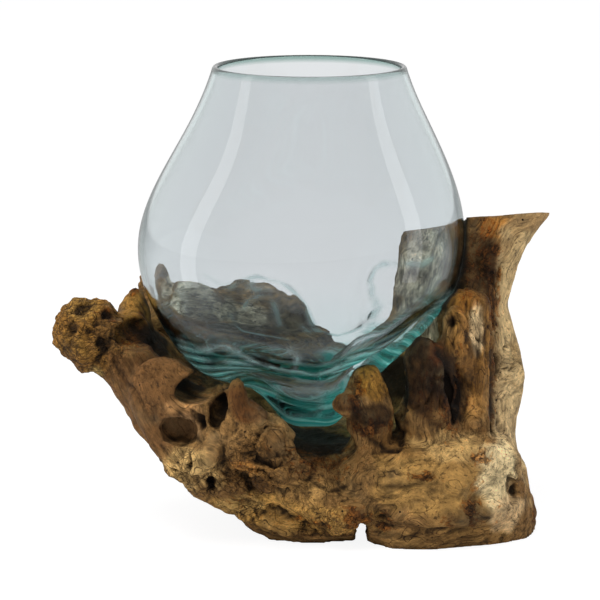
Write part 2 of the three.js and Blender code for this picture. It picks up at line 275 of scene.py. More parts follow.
def mean_round(values):
    """The mean of each vertex's neighbours."""
    sums = [np.bincount(heads, weights=column[tails], minlength=len(place)) for column in values.T]
    return np.column_stack(sums) / neighbours[:, None]


def normals():
    """Outward directions of the wood as it lies now."""
    wood.vertices.foreach_set("co", ((place + BOWL_AXIS) * MM).ravel())
    wood.update()
    found = np.empty(3 * len(wood.vertices))
    wood.vertices.foreach_get("normal", found)
    return found.reshape(-1, 3)


# The two saw cuts stay flat: the underside, and the trunk's top, which falls to the left and back.
ON_SAW_CUT = 1.2
SAW_TIP = np.array((149, 5, 191))
FALL_LEFT, FALL_BACK = math.atan(0.07), math.atan(0.26)
SAW_UP = np.array(
    (
        -math.sin(FALL_LEFT),
        math.cos(FALL_LEFT) * math.sin(FALL_BACK),
        math.cos(FALL_LEFT) * math.cos(FALL_BACK),
    )
)
above_cut = (place - SAW_TIP) @ SAW_UP
on_cut = np.abs(above_cut) < ON_SAW_CUT
on_table = place[:, 2] < ON_SAW_CUT
free = np.where(on_cut | on_table, 0.0, 1.0)[:, None]

# The hot glass left its seat smooth, so no relief is cut where the wood met it, and the seat is painted
# dark as painted shade. Wood below the seat's floor or beyond its side never met it.
OFF_GLASS = 0.35
SEAT_FLOOR = 55
SEAT_SIDE = 112
FAR_OFF = 60.0
room = seat_room(OFF_GLASS)


def from_glass():
    """Each vertex's nearest place on the room that the vase needs, and how far outside it lies."""
    nearest = place.copy()
    off = np.full(len(place), FAR_OFF)
    for k, point in enumerate(place):
        if point[2] < SEAT_FLOOR or math.hypot(point[0], point[1]) > SEAT_SIDE:
            continue
        found, facing, _, away = room.find_nearest(Vector(point))
        nearest[k] = found
        off[k] = math.copysign(away, (Vector(point) - found).dot(facing))
    return nearest, off


on_seat = 1 - smooth(0.9, 4.0, np.abs(from_glass()[1]))
free_to_wear = free[:, 0] * (1 - 0.95 * on_seat)

# The solid's facets are worn round, without shrinking it, and its hollows are found by wearing a
# copy rounder still.
WORN_ROUND = 45
ROUNDER_STILL = 40
IN_AND_OUT = (0.5, -0.52)
for rounds in range(WORN_ROUND):
    for share in IN_AND_OUT:
        place = place + share * free * (mean_round(place) - place)
rounded = place.copy()
for rounds in range(ROUNDER_STILL):
    rounded = rounded + 0.5 * (mean_round(rounded) - rounded)
outward = normals()
hollow = np.einsum("ij,ij->i", rounded - place, outward)  # above 0 in a hollow, in mm


def out_in_egg(centre, radii):
    """How far out each spot lies in an egg-shaped place, where 1 is its shell."""
    return np.linalg.norm((place - np.array(centre)) / np.array(radii), axis=1)


def patch(centre, radii):
    """1 within an egg-shaped patch with a ragged edge, 0 outside."""
    return 1 - smooth(0.75, 1.15, out_in_egg(centre, radii) + 0.3 * bumps(place + 90, 9))


def wavering(size, shift):
    """A smooth random move of each spot, three ways."""
    return np.column_stack([bumps(place + (shift + way), size) for way in (0, 200, 400)])


def creased(points, size):
    """Round bumps with sharp creases between them, up and down about 0."""
    return np.abs(bumps(points, size)) - 0.25


# Smooth outer faces, and the knotted and eaten places.
sleek = np.maximum.reduce(
    [
        patch((132, -6, 110), (24, 34, 90)),
        patch((92, -62, 42), (46, 30, 24)),
        patch((-88, -52, 90), (24, 24, 34)),
        patch((-69, -54, 74), (14, 20, 11)),
        patch((-30, -62, 92), (12, 24, 12)),
    ]
)
knotty = np.maximum.reduce(
    [
        patch((-24, -72, 50), (34, 30, 30)),
        patch((-126, -30, 124), (28, 30, 28)),
        patch((-66, -56, 46), (24, 26, 18)),
        patch((0, -56, 16), (64, 30, 14)),
        patch((20, 70, 60), (70, 30, 60)),
    ]
)

grain = along_growth(place)
warp = wavering(16, 0)
flow = grain + 2.5 * warp
lumps = creased(place + 30, 22)
knots = creased(place + 6 * warp, 9)
burrs = creased(place + 4 * warp + 70, 4.6)
flutes = creased(flow, 7)
ribs = creased(flow + 50, 3.2)
relief = 2.2 * lumps * (1 - 0.7 * sleek)
relief += (2.6 * knots + 1.3 * burrs) * knotty
relief += (1.7 - 1.3 * sleek) * flutes
relief += (0.8 - 0.5 * sleek) * ribs
place = place + (free_to_wear * relief)[:, None] * outward
outward = normals()

# Eyes: healed branches, ringed like a target. Centre, radius and how far the rim stands out.
EYES = [
    ((-16, -74, 67), 10.0, 2.2),
    ((-34, -76, 54), 8.5, 1.3),
    ((-24, -77, 45), 7.5, 1.9),
    ((-87, -55, 108), 4.2, 0.7),
    ((-95, -52, 107), 3.4, 0.6),
    ((49, -67, 99), 4.5, 1.0),
    ((103, -49, 84), 5.5, 1.0),
    ((133, -12, 96), 7.0, 1.1),
    ((30, 84, 60), 12.0, 2.4),
    ((-30, 78, 90), 10.0, 2.0),
    ((84, 84, 70), 11.0, 2.0),
]
rings = np.zeros(len(place))
for centre, radius, rim in EYES:
    away = np.linalg.norm(place - np.array(centre), axis=1) / radius
    away = away * (1 + 0.2 * bumps(place, 6))
    swell = np.exp(-((away - 0.85) ** 2) / 0.03) * rim
    crack = np.exp(-((away - 1.12) ** 2) / 0.008) * 1.5 * rim
    round_grain = 0.35 * np.cos(2 * math.pi * away * 3) * (away < 1)
    rings += swell - crack + round_grain

# Pits and worn holes: centre, radii, depth and how dark the painted shade inside it is.
HOLES = [
    ((-69, -56, 74), (13, 24, 10), 4.5, 0.25),
    ((-58, -66, 79), (4.2, 14, 5.5), 8, 1.0),
    ((-45, -56, 88), (3.6, 18, 10), 8, 1.0),
    ((-65, -74, 55), (2.4, 14, 6.2), 7, 1.0),
    ((-52.5, -64, 43), (3.2, 14, 3.2), 6, 1.0),
    ((-51.5, -62, 37), (3.4, 14, 3.8), 6, 1.0),
    ((-135, -42, 131), (6.5, 12, 5.5), 4, 0.7),
    ((-129, -34, 141), (8, 12, 6.5), 3.5, 0.3),
    ((-113, -36, 137), (7, 12, 3.4), 3.5, 0.8),
    ((-116, -46, 121), (4.6, 12, 5.5), 3.5, 0.8),
    ((-108, -22, 137), (4, 14, 7), 2.5, 0.4),
    ((125, -51, 37), (3.8, 12, 7.2), 5.5, 0.75),
    ((89, -50, 136), (4.2, 14, 4.6), 7, 1.0),
    ((114, -39, 96), (2.2, 14, 34), 4, 1.0),
]
pit_shade = np.zeros(len(place))
for centre, radii, depth, dark in HOLES:
    away = out_in_egg(centre, radii) * (1 + 0.25 * bumps(place, 5))
    seen_side = outward[:, 1] < 0.45
    rings -= depth * (1 - smooth(0.35, 1.1, away)) * seen_side
    pit_shade = np.maximum(pit_shade, dark * (1 - smooth(0.45, 0.95, away)) * seen_side)

# Creases and splits that can be followed by eye: their run, half width and depth.
CREASES = [
    ([(-108, -22, 120), (-110, -44, 116), (-108, -45, 108), (-102, -45, 98), (-98, -56, 97)], 1.8, 2.0),
    ([(-98, -56, 97), (-92, -59, 89), (-86, -61, 80), (-82, -62, 70)], 1.3, 1.2),
    ([(-15, -70, 77), (-13, -72, 69), (-9, -71, 65), (-10, -72, 60), (-19, -76, 60)], 1.3, 2.0),
    ([(46, -68, 102), (49, -66, 99), (51, -65, 94)], 1.2, 2.0),
    ([(79, -52, 124), (81, -55, 122), (81, -61, 115), (85, -61, 109)], 1.2, 2.0),
    ([(113, -31, 129), (117, -21, 109), (118, -20, 96), (117, -31, 85), (113, -42, 70)], 1.6, 3.0),
    ([(99, -32, 142), (101, -38, 131), (98, -50, 122)], 1.3, 1.8),
    ([(105, -30, 145), (107, -37, 131), (105, -43, 117), (103, -46, 105)], 1.3, 1.8),
    ([(29, -62, 47), (42, -68, 42), (57, -70, 40), (70, -72, 43), (76, -73, 49)], 1.3, 1.6),
    ([(45, -66, 56), (61, -71, 53), (75, -73, 51)], 1.1, 0.9),
    ([(35, -67, 73), (41, -66, 68), (49, -62, 63), (59, -65, 61)], 1.6, 2.4),
    ([(58, -65, 61), (60, -53, 69), (63, -60, 78)], 1.5, 2.4),
    ([(-137, -42, 127), (-129, -46, 126), (-122, -43, 130), (-119, -37, 136)], 1.4, 2.0),
    ([(-119, -45, 112), (-111, -43, 120), (-110, -39, 126)], 1.6, 2.4),
    ([(-43, -69, 58), (-41, -66, 49), (-33, -62, 46), (-27, -74, 53), (-28, -80, 61)], 1.3, 1.8),
    ([(-32, -80, 69), (-24, -79, 60), (-13, -79, 56), (-5, -71, 56)], 1.3, 1.8),
    ([(-35, -54, 27), (-23, -50, 26), (-13, -50, 24), (-5, -49, 18)], 1.4, 2.0),
    ([(-82, -62, 64), (-76, -62, 55), (-73, -60, 46)], 1.3, 1.4),
    ([(82, -58, 118), (86, -58, 104), (90, -57, 92), (92, -55, 80)], 4.4, 5.0),
    ([(116, -56, 57), (118, -57, 45), (120, -55, 32), (123, -52, 21)], 1.2, 0.8),
    ([(127, -48, 51), (129, -45, 39), (129, -41, 26)], 1.2, 0.8),
    ([(6, -61, 43), (18, -63, 37), (26, -61, 39)], 1.3, 1.6),
]
wander = 0.9 * wavering(5, 20)
for line, half_width, depth in CREASES:
    near = nearest_on(np.array(line, float), place + wander)[0] / half_width
    rings -= depth * np.exp(-(near**2))
    # Creases take painted shade too.
    pit_shade = np.maximum(pit_shade, 0.3 * depth * np.exp(-(near**2) * 1.4))
pit_shade = np.minimum(pit_shade, 1)

# Drying cracks along the grain, where the wood has split.
split = np.maximum.reduce(
    [
        patch((118, -20, 125), (10, 26, 62)),
        patch((66, -60, 95), (20, 20, 34)),
        patch((98, -34, 115), (20, 20, 38)),
        patch((60, 80, 90), (60, 30, 60)) * 0.8,
        0.25 * np.ones(len(place)),
    ]
)
cracks = np.exp(-((bumps(flow + 300, 10) / 0.05) ** 2)) * split
rings -= 2.6 * cracks
place = place + (free_to_wear * rings)[:, None] * outward

# The wood keeps clear of the glass, of both saw cuts and of the box that the CAD solid fills.
nearest, off = from_glass()
place = np.where((off < 0)[:, None], nearest, place)
above_cut = (place - SAW_TIP) @ SAW_UP
place = place - np.outer(np.maximum(above_cut, 0), SAW_UP)
place[:, 2] = np.maximum(place[:, 2], 0)
place[on_table, 2] = 0
low, high = (np.array(corner) / MM - BOWL_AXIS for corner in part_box("root_base"))
place = np.clip(place, low, high)
outward = normals()

# How sheltered each spot is: the share of its open side that wood or the bowl close by closes off. The
# finish paints shade by it.
LOOKS = 44
SIGHT = 50.0
OFF_WOOD = 0.8
GRAZING = 0.2
up = 1 - (2 * np.arange(LOOKS) + 1) / LOOKS
around = math.pi * (3 - math.sqrt(5)) * np.arange(LOOKS)
looks = np.column_stack((np.sqrt(1 - up**2) * np.cos(around), np.sqrt(1 - up**2) * np.sin(around), up))
wood_tree = BVHTree.FromPolygons(place.tolist(), [tuple(face.vertices) for face in wood.polygons])
shelter = np.zeros(len(place))
for k in np.flatnonzero(place[:, 2] > 0.5):
    start = Vector(place[k] + OFF_WOOD * outward[k])
    ahead = looks[looks @ outward[k] > GRAZING]
    for look in ahead:
        away = wood_tree.ray_cast(start, Vector(look), SIGHT)[3] or SIGHT
        met, _, _, bowl_away = room.ray_cast(start, Vector(look), SIGHT)
        if met and met.z < BELLY_HEIGHT - 20:
            away = min(away, bowl_away)
        shelter[k] += (1 - away / SIGHT) / len(ahead)
shelter = shelter[:, None]
for rounds in range(3):
    shelter = 0.5 * (shelter + mean_round(shelter))

# Painted shade is lifted from one pale hollow at the front, and from the seat's back, which is turned in
# to the glass and lit through it.
pale_hollow = patch((-70, -50, 74), (12, 26, 10))
reach = np.hypot(place[:, 0], place[:, 1])
turned_in = -(place[:, 0] * outward[:, 0] + place[:, 1] * outward[:, 1]) / reach
lit_through_glass = smooth(0.05, 0.4, turned_in) * (1 - smooth(98, 108, reach))
lit_through_glass *= smooth(8, 28, place[:, 1]) * smooth(84, 100, place[:, 2])
shelter = shelter[:, 0] * (1 - 0.95 * pale_hollow) * (1 - 0.8 * lit_through_glass)


def egg(centre, radii):
    """1 at the middle of an egg-shaped place, falling evenly to 0 at twice its radii."""
    return np.clip(1 - 0.5 * out_in_egg(centre, radii), 0, 1)


# Where bark and rot have stained the wood, and where shade is painted into the gaps by the stubs, under
# the drip, in the left cave and under the glass: place, radii and strength.
STAINS_AND_SHADE = [
    ((109, -8, 166), (7, 24, 22), 0.85),
    ((97, -10, 156), (6, 22, 14), 0.85),
    ((115, -10, 147), (4.5, 22, 26), 1.0),
    ((115, -28, 108), (2.4, 20, 24), 0.8),
    ((114, -41, 78), (3, 16, 9), 0.9),
    ((104, -62, 57), (8, 14, 4.5), 0.85),
    ((101, -66, 28), (4.5, 14, 14), 0.85),
    ((33, -66, 22), (10, 16, 6), 1.0),
    ((49, -60, 17), (5, 12, 6), 0.85),
    ((72, -73, 47), (7, 12, 3), 0.8),
    ((88, -69, 22), (5, 12, 8), 0.65),
    ((119, -56, 20), (10, 14, 7), 0.55),
    ((141, -21, 13), (3, 12, 7), 0.8),
    ((40, -72, 76), (14, 18, 5), 1.0),
    ((32, -69, 95), (4, 14, 13), 0.9),
    ((89, -57, 92), (7, 16, 20), 1.0),
    ((74, -62, 96), (14, 16, 10), 0.6),
    ((8, -34, 56), (22, 40, 11), 1.0),
    ((-92, -8, 117), (18, 22, 13), 1.0),
    ((-64, 16, 94), (20, 44, 9), 1.0),
    ((-100, 10, 144), (5, 10, 5), 0.9),
    ((-113, -36, 137), (7, 12, 4), 0.8),
    ((-116, -46, 121), (6, 12, 7), 0.4),
    ((-35, -76, 55), (8, 12, 6), 0.6),
    ((-35, -55, 29), (8, 14, 3), 0.7),
    ((-6, -49, 18), (12, 14, 3), 0.7),
    ((12, -59, 15), (9, 14, 3), 0.7),
    ((-40, -30, 8), (10, 30, 4), 0.6),
]
stain = np.maximum.reduce([share * egg(centre, radii) for centre, radii, share in STAINS_AND_SHADE])

# Painted shade deep in the gaps between the stubs and under the drip.
gap_shade = np.maximum.reduce(
    [
        patch((60, 40, 82), (18, 16, 18)),
        patch((63, -50, 94), (5, 14, 13)),
        patch((10, -26, 58), (30, 24, 9)),
        patch((-88, -2, 112), (12, 16, 12)),
        patch((-66, -34, 99), (15, 12, 9)),
    ]
)
# Painted shade: in holes and creases, deep in the gaps, and over the glass's seat, less where the seat
# is lit through the glass.
dark = np.maximum.reduce([pit_shade, 0.96 * gap_shade, (0.94 - 0.8 * lit_through_glass) * on_seat])

# What the finish reads: the grain, how worn and how sheltered each spot is, how much shade is painted on
# it, its stains, and its own tone.
worn = 2.4 * flutes + 1.44 * ribs + (1.8 * knots + 1.44 * burrs) * knotty + 0.35 * (rings - hollow)
worn = (worn + 3 * pale_hollow) * (1 - on_seat) * (1 - 0.5 * sleek)
wood.attributes.new("grain", "FLOAT_VECTOR", "POINT").data.foreach_set("vector", flow.ravel())
for name, values in (
    ("worn", worn),
    ("shelter", shelter),
    ("stain", stain),
    ("dark", dark),
    ("knotty", knotty),
    ("sleek", sleek),
):
    wood.attributes.new(name, "FLOAT", "POINT").data.foreach_set("value", values)


def rgb(red, green, blue):
    """A colour as seen on a screen, 0 to 255, as light."""
    seen = np.array((red, green, blue)) / 255
    return np.where(seen <= 0.04045, seen / 12.92, ((seen + 0.055) / 1.055) ** 2.4)


TAN = rgb(154, 116, 68)
SPOTS = [
    ((-128, -25, 122), (28, 34, 30), rgb(172, 122, 54), 0.9),
    ((-134, -46, 116), (12, 20, 12), rgb(156, 116, 54), 0.8),
    ((-114, -40, 128), (8, 16, 14), rgb(136, 98, 54), 0.8),
    ((-129, -34, 141), (11, 16, 9), rgb(196, 150, 76), 0.8),
    ((-122, -36, 103), (6, 14, 5), rgb(210, 176, 104), 0.9),
    ((-98, 2, 134), (12, 18, 11), rgb(194, 144, 68), 0.9),
    ((-88, -52, 90), (30, 28, 38), rgb(130, 91, 53), 0.9),
    ((-132, -30, 108), (14, 20, 8), rgb(150, 106, 50), 0.7),
    ((-66, -52, 88), (18, 18, 6), rgb(196, 146, 92), 0.9),
    ((-69, -56, 74), (14, 24, 10), rgb(176, 136, 92), 0.9),
    ((-30, -64, 90), (13, 20, 13), rgb(100, 58, 26), 0.85),
    ((-62, -64, 50), (18, 26, 16), rgb(242, 198, 126), 0.85),
    ((-24, -72, 52), (22, 24, 22), rgb(156, 112, 58), 0.6),
    ((-16, -74, 67), (9, 14, 9), rgb(114, 78, 38), 0.7),
    ((-34, -74, 54), (8, 14, 7), rgb(244, 172, 88), 0.75),
    ((-24, -77, 45), (8, 12, 8), rgb(104, 70, 32), 0.8),
    ((14, -58, 14), (18, 14, 10), rgb(156, 112, 58), 0.6),
    ((-14, -60, 20), (60, 30, 14), rgb(232, 178, 94), 0.8),
    ((-36, -58, 25), (14, 22, 9), rgb(250, 204, 122), 0.8),
    ((2, -62, 36), (15, 22, 9), rgb(214, 166, 98), 0.6),
    ((44, -70, 104), (14, 22, 12), rgb(152, 108, 40), 0.85),
    ((25, -73, 92), (8, 16, 6), rgb(78, 46, 18), 0.85),
    ((42, -68, 84), (14, 22, 8), rgb(46, 28, 12), 0.9),
    ((74, -62, 108), (20, 22, 32), rgb(36, 20, 9), 0.95),
    ((80, -56, 120), (5, 16, 10), rgb(122, 66, 28), 0.5),
    ((100, -34, 122), (18, 26, 34), rgb(166, 118, 58), 0.85),
    ((104, -38, 130), (4.5, 18, 17), rgb(246, 212, 160), 0.95),
    ((96, -30, 146), (12, 18, 8), rgb(176, 112, 44), 0.7),
    ((98, -46, 98), (12, 18, 12), rgb(112, 76, 34), 0.75),
    ((103, -48, 84), (8, 16, 7), rgb(194, 142, 76), 0.8),
    ((108, -8, 164), (12, 30, 30), rgb(98, 68, 38), 0.85),
    ((119, -4, 184), (12, 20, 7), rgb(196, 132, 58), 0.8),
    ((134, 0, 110), (20, 44, 96), rgb(232, 200, 144), 0.95),
    ((124, -22, 70), (12, 40, 44), rgb(232, 200, 146), 0.85),
    ((88, -62, 44), (52, 34, 24), rgb(192, 148, 82), 0.9),
    ((60, -66, 66), (22, 24, 8), rgb(160, 116, 62), 0.7),
    ((90, -62, 64), (22, 24, 9), rgb(236, 192, 122), 0.8),
    ((117, -56, 44), (14, 20, 23), rgb(252, 226, 172), 0.95),
    ((101, -62, 18), (12, 20, 14), rgb(112, 84, 46), 0.7),
    ((96, -56, 8), (48, 34, 9), rgb(184, 142, 82), 0.6),
    ((124, -50, 18), (13, 24, 12), rgb(236, 200, 148), 0.85),
    ((138, 4, 187), (20, 22, 7), rgb(176, 138, 90), 0.8),
]
tone = np.tile(TAN, (len(place), 1))
for centre, radii, colour, share in SPOTS:
    tone += (share * patch(centre, radii))[:, None] * (colour - tone)

# The seat's back, which shows through the glass, is painted pale in places as painted light, since
# little light reaches it through the glass, and darker in others.
SEAT_SPOTS = [
    ((-74, 46, 132), (18, 20, 18), rgb(242, 228, 204)),
    ((-54, 52, 120), (18, 20, 11), rgb(206, 190, 164)),
    ((-31, 64, 114), (16, 20, 8), rgb(208, 192, 166)),
    ((-42, 60, 103), (24, 20, 7), rgb(152, 142, 128)),
    ((-6, 68, 108), (18, 20, 16), rgb(88, 76, 64)),
    ((78, 42, 150), (26, 26, 32), rgb(228, 212, 186)),
    ((80, 30, 114), (20, 20, 12), rgb(150, 132, 110)),
]
for centre, radii, colour in SEAT_SPOTS:
    tone += (0.95 * lit_through_glass * patch(centre, radii))[:, None] * (colour - tone)
# Painted light and shade: blotches that brighten and darken the seat's back behind the glass.
painted_light_mottle = 0.75 + 0.7 * smooth(-0.3, 0.4, bumps(place + 40, 12) + 0.6 * bumps(place + 80, 4.5))
tone *= (1 + lit_through_glass * (painted_light_mottle - 1))[:, None]
tint = wood.attributes.new("tone", "FLOAT_COLOR", "POINT")
tint.data.foreach_set("color", np.column_stack((tone, np.ones(len(place)))).ravel())


def node(tree, kind, settings=None, sockets=None):
    """Adds a node, sets it up, and fills its inputs with values or with other nodes' outputs."""
    made = tree.nodes.new(kind)
    for name, value in (settings or {}).items():
        setattr(made, name, value)
    for name, value in (sockets or {}).items():
        if isinstance(value, bpy.types.NodeSocket):
            tree.links.new(value, made.inputs[name])
        else:
            made.inputs[name].default_value = value
    return made


def calc(tree, operation, first, second=0.0, third=0.0):
    """A sum on two or three numbers."""
    numbers = {0: first, 1: second, 2: third}
    return node(tree, "ShaderNodeMath", {"operation": operation}, numbers).outputs[0]


def times(tree, *factors):
    """Numbers multiplied together."""
    product = factors[0]
    for factor in factors[1:]:
        product = calc(tree, "MULTIPLY", product, factor)
    return product


def vector_calc(tree, operation, sockets, output="Vector"):
    """A sum on vectors."""
    return node(tree, "ShaderNodeVectorMath", {"operation": operation}, sockets).outputs[output]


def span(tree, value, from_low, from_high, to_low=0.0, to_high=1.0):
    """Maps one range onto another and holds it there."""
    limits = {"From Min": from_low, "From Max": from_high, "To Min": to_low, "To Max": to_high}
    return node(tree, "ShaderNodeMapRange", None, {"Value": value, **limits}).outputs["Result"]


def blend_colour(tree, share, under, over, how="MIX"):
    """Two colours mixed."""
    mix = node(tree, "ShaderNodeMix", {"data_type": "RGBA", "blend_type": how})
    for socket, value in ((mix.inputs[0], share), (mix.inputs[6], under), (mix.inputs[7], over)):
        if isinstance(value, bpy.types.NodeSocket):
            tree.links.new(value, socket)
        else:
            socket.default_value = value
    return mix.outputs[2]


def material(name):
    """A new material with only its output."""
    made = bpy.data.materials.new(name)
    made.use_nodes = True
    made.node_tree.nodes.clear()
    return made, made.node_tree, made.node_tree.nodes.new("ShaderNodeOutputMaterial")


def stored(tree, name, output="Fac"):
    """Reads one of the piece's own attributes."""
    return node(tree, "ShaderNodeAttribute", {"attribute_name": name}).outputs[output]


def noise(tree, at, scale, detail, roughness):
    """Smooth noise from 0 to 1 about 0.5."""
    settings = {"Vector": at, "Scale": scale, "Detail": detail, "Roughness": roughness}
    return node(tree, "ShaderNodeTexNoise", None, settings).outputs["Fac"]


REDDER_WOOD = (0.23, 0.105, 0.03, 1)
GREYER_WOOD = (0.36, 0.26, 0.13, 1)
BARK_DARK = (0.06, 0.042, 0.034, 1)
BARK_LIGHT = (0.8, 0.54, 0.34, 1)
GROOVE_DARK = (0.024, 0.013, 0.006, 1)
SHADE = (0.013, 0.008, 0.005, 1)
DEEP_SHADE = (0.012, 0.008, 0.006, 1)
DASH = (0.045, 0.024, 0.011, 1)
HAIR_CRACK = (0.03, 0.016, 0.008, 1)
SEAM = (0.03, 0.017, 0.009, 1)
FLECK = (0.05, 0.03, 0.015, 1)
WORM_HOLE = (0.012, 0.008, 0.005, 1)
root_finish, tree, output = material("weathered_root")
along = stored(tree, "grain", "Vector")
where = node(tree, "ShaderNodeTexCoord").outputs["Object"]
streaks = noise(tree, along, 0.42, 5.0, 0.66)
fibres = noise(tree, along, 1.9, 3.0, 0.6)
threads = noise(tree, along, 0.16, 1.0, 0.5)
dashes = noise(tree, along, 0.95, 2.0, 0.7)
cloud = noise(tree, where, 34.0, 4.0, 0.6)
blotch = noise(tree, where, 120.0, 5.0, 0.66)
speck = noise(tree, where, 430.0, 3.0, 0.7)
worm_cells = node(tree, "ShaderNodeTexVoronoi", None, {"Vector": where, "Scale": 90.0})
worm_holes = worm_cells.outputs["Distance"]
bend = node(tree, "ShaderNodeTexNoise", None, {"Vector": where, "Scale": 150.0, "Detail": 2.0})
bent = vector_calc(tree, "SCALE", {0: bend.outputs["Color"], "Scale": 0.007})
bent = vector_calc(tree, "ADD", {0: where, 1: bent})
to_edge = {"feature": "DISTANCE_TO_EDGE"}
eaten_cells = node(tree, "ShaderNodeTexVoronoi", to_edge, {"Vector": bent, "Scale": 210.0})
eaten = eaten_cells.outputs["Distance"]

# Pale and dark grain over the wood's own tone, with redder and greyer clouds.
light_and_dark = span(tree, streaks, 0.3, 0.7, 0.4, 1.55)
light_and_dark = times(tree, light_and_dark, span(tree, fibres, 0.3, 0.7, 0.66, 1.34))
even = calc(tree, "MULTIPLY_ADD", stored(tree, "sleek"), -0.5, 1.0)
light_and_dark = calc(tree, "MULTIPLY_ADD", calc(tree, "SUBTRACT", light_and_dark, 1.0), even, 1.0)
light_and_dark = times(tree, light_and_dark, span(tree, blotch, 0.34, 0.64, 0.62, 1.32))
colour = blend_colour(tree, 1.0, stored(tree, "tone", "Color"), light_and_dark, "MULTIPLY")
colour = blend_colour(tree, span(tree, cloud, 0.5, 0.7, 0.0, 0.5), colour, REDDER_WOOD)
colour = blend_colour(tree, span(tree, cloud, 0.46, 0.3, 0.0, 0.3), colour, GREYER_WOOD)

# Bark and rot in ragged stains, some of them painted shade in hollows; darker in the grooves; painted
# shade in sheltered spots, holes, creases, gaps and over the seat.
ragged = stored(tree, "stain")
for pattern, low, high, fray in (
    (streaks, 0.3, 0.7, 0.3),
    (blotch, 0.32, 0.66, 0.34),
    (speck, 0.34, 0.66, 0.14),
):
    ragged = calc(tree, "ADD", ragged, span(tree, pattern, low, high, -fray, fray))
# Stains, and the painted shade listed with them, take the dark bark colour.
stained_and_shaded = span(tree, ragged, 0.38, 0.7)
flaked = times(tree, span(tree, speck, 0.4, 0.6), span(tree, streaks, 0.4, 0.6, 0.3, 1.0))
bark_and_shade = blend_colour(tree, flaked, BARK_DARK, BARK_LIGHT)
colour = blend_colour(tree, stained_and_shaded, colour, bark_and_shade, "MULTIPLY")
# Darker where the relief is sunk, in the grooves and hollows.
sunk = calc(tree, "ADD", stored(tree, "worn"), span(tree, streaks, 0.3, 0.7, -0.7, 0.5))
colour = blend_colour(tree, span(tree, sunk, 0.0, -1.5, 0.0, 0.92), colour, GROOVE_DARK)
# Painted shade where the spot is sheltered.
shelter_shade = calc(tree, "ADD", stored(tree, "shelter"), span(tree, blotch, 0.3, 0.7, -0.1, 0.1))
colour = blend_colour(tree, span(tree, shelter_shade, 0.3, 0.68, 0.0, 0.94), colour, SHADE)
# Painted shade, near black, in holes, creases, gaps and over the seat.
colour = blend_colour(tree, stored(tree, "dark"), colour, DEEP_SHADE)

# Short dark dashes along the grain, hairline cracks, flecks and a few worm holes.
patchy = span(tree, cloud, 0.4, 0.54, 0.15, 1.0)
crack = calc(tree, "ABSOLUTE", calc(tree, "SUBTRACT", threads, 0.5))
rotten = times(tree, stored(tree, "knotty"), span(tree, cloud, 0.36, 0.5))
seams = times(tree, span(tree, eaten, 0.07, 0.02), rotten, span(tree, blotch, 0.4, 0.56))
for share, over in (
    (times(tree, span(tree, dashes, 0.59, 0.65), patchy, 0.75), DASH),
    (times(tree, span(tree, crack, 0.007, 0.002, 0.0, 0.8), even), HAIR_CRACK),
    (times(tree, seams, 0.75), SEAM),
    (times(tree, span(tree, speck, 0.58, 0.66), patchy, 0.7), FLECK),
    (span(tree, worm_holes, 0.07, 0.05), WORM_HOLE),
):
    colour = blend_colour(tree, share, colour, over)

# The grain stands up a little in the light.
height = calc(tree, "MULTIPLY_ADD", fibres, 0.5, times(tree, speck, 0.3))
height = calc(tree, "MULTIPLY_ADD", streaks, 0.9, height)
height = calc(tree, "MULTIPLY_ADD", span(tree, crack, 0.0, 0.01), 0.3, height)
eaten_away = times(tree, span(tree, eaten, 0.0, 0.2), rotten)
height = calc(tree, "MULTIPLY_ADD", eaten_away, 0.8, height)
grooves = node(tree, "ShaderNodeBump", None, {"Strength": 0.95, "Distance": 0.0016, "Height": height})
surface = node(
    tree,
    "ShaderNodeBsdfPrincipled",
    None,
    {
        "Base Color": colour,
        "Roughness": span(tree, fibres, 0.3, 0.7, 0.55, 0.8),
        "Specular IOR Level": 0.2,
        "Normal": grooves.outputs["Normal"],
    },
)
tree.links.new(surface.outputs[0], output.inputs["Surface"])
wood.materials.clear()
wood.materials.append(root_finish)
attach(root, "root")
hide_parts("root_base")


# The vase
# One gather of clear recycled glass, blown round and let down hot onto the root, so that its foot
# sagged between the stubs. It is thin at the lip and pooled thick and teal at the bottom.

WALL = 3.4
FOOT_WALL = 9.0
INSIDE_SAG = 0.8  # how much of an outward sag the wall's inside follows
COLUMNS = 300
THREAD_APART = 0.085  # radians down the bowl from one teal thread to the next
RIPPLE_DEPTH = 0.5 * MM
WAVE_DEPTH = 0.9 * MM
TRAIL_DEPTH = 0.5 * MM
TRAIL_WIDTH = 2.2 * MM
HANGING = [(0.052, 0.104), (0.068, 0.113), (0.084, 0.127)]  # the bowl's free lower right, x and z


def bowl_outline():
    """Half outline of the round bowl from bottom to lip: points and outward normals."""
    drops = math.pi / 2 * (1 - np.linspace(0, 1, 100) ** 1.15)
    low = np.column_stack((BELLY_RADIUS * np.cos(drops), BELLY_HEIGHT - BOWL_DEPTH * np.sin(drops)))
    t = np.linspace(0, 1, 46)[1:, None]
    hold = np.array(
        (
            (BELLY_RADIUS, BELLY_HEIGHT),
            (BELLY_RADIUS, BELLY_HEIGHT + 0.34 * NECK_RISE),
            (1.2 * MOUTH_RADIUS, RIM_HEIGHT - 0.36 * NECK_RISE),
            (MOUTH_RADIUS, RIM_HEIGHT),
        )
    )
    shares = ((1 - t) ** 3, 3 * t * (1 - t) ** 2, 3 * t**2 * (1 - t), t**3)
    neck = sum(share * held for share, held in zip(shares, hold))
    points = np.concatenate((low, neck))
    points[0, 0] = 0
    along = np.gradient(points, axis=0)
    along /= np.linalg.norm(along, axis=1)[:, None]
    return points, np.column_stack((along[:, 1], -along[:, 0]))


